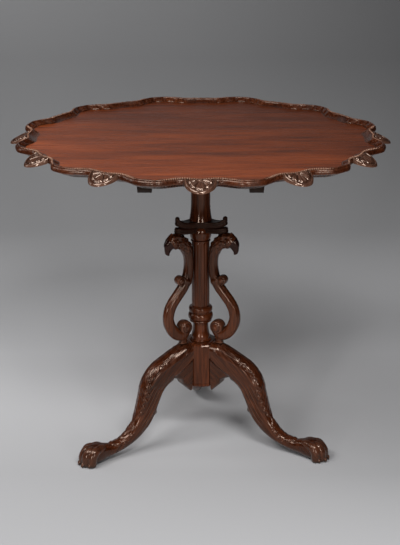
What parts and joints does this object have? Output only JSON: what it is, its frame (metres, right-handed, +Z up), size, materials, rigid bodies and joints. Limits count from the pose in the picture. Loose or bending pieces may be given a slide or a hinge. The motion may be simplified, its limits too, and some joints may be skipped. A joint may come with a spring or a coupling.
{
  "type": "tilt-top tripod table",
  "caption": "Round tilt-top tripod table with a dished, scalloped shell-carved rim, a pillar with eagle-headed scroll brackets and cabriole legs on paw feet.",
  "frame": {"origin": "on the floor under the middle of the pillar, with the top level", "axes": "+Z up; -Y is the front, where the pivots are and one shell of the rim points; +X to the right of someone facing the front"},
  "size_m": [0.8346, 0.8346, 0.7235],
  "materials": {
    "top_mahogany": "polished, straight grain along X",
    "shell_carving": "carved and waxed, worn on the ribs",
    "pillar_mahogany": "turned and polished, grain along the pillar",
    "carved_mahogany": "carved and polished, dark in the hollows",
    "plain_wood": "planed, unpolished",
    "brass": "dull with age",
    "steel": "dark, lightly rusted"
  },
  "bodies": {
    "base": {"pillar_block": "plain_wood", "pivot_dowel_left": "pillar_mahogany", "pivot_dowel_right": "pillar_mahogany", "block_wedge": "plain_wood", "keeper_plate": "brass", "keeper_screw_1": "brass", "keeper_screw_2": "brass", "upper_shaft": "pillar_mahogany", "capital_upper_tier": "carved_mahogany", "capital_lower_tier": "carved_mahogany", "lower_shaft": "pillar_mahogany", "leg_hub": "pillar_mahogany", "leg_1": "carved_mahogany", "leg_2": "carved_mahogany", "leg_3": "carved_mahogany", "eagle_bracket_1": "carved_mahogany", "eagle_bracket_2": "carved_mahogany", "eagle_bracket_3": "carved_mahogany", "bracket_neck_dowel_1": "plain_wood", "bracket_foot_dowel_1": "plain_wood", "bracket_neck_dowel_2": "plain_wood", "bracket_foot_dowel_2": "plain_wood", "bracket_neck_dowel_3": "plain_wood", "bracket_foot_dowel_3": "plain_wood"},
    "top": {"top_board": "top_mahogany", "shell_01": "shell_carving", "shell_02": "shell_carving", "shell_03": "shell_carving", "shell_04": "shell_carving", "shell_05": "shell_carving", "shell_06": "shell_carving", "shell_07": "shell_carving", "shell_08": "shell_carving", "shell_09": "shell_carving", "shell_10": "shell_carving", "shell_11": "shell_carving", "shell_12": "shell_carving", "bearer_left": "plain_wood", "bearer_right": "plain_wood", "bearer_screw_1": "steel", "bearer_screw_2": "steel", "bearer_screw_3": "steel", "bearer_screw_4": "steel", "bearer_screw_5": "steel", "bearer_screw_6": "steel", "catch_case": "brass", "catch_spring": "steel", "catch_screw_1": "brass", "catch_screw_2": "brass"},
    "catch_bolt": {"catch_bolt": "brass"}
  },
  "joints": [
    {"name": "top_tilt", "type": "hinge", "parent": "base", "child": "top", "pos_m": [0, -0.083, 0.6865], "axis": [1, 0, 0], "range_deg": [0, 90]},
    {"name": "catch_slide", "type": "slide", "parent": "top", "child": "catch_bolt", "axis": [0, -1, 0], "range_m": [0, 0.009]}
  ]
}
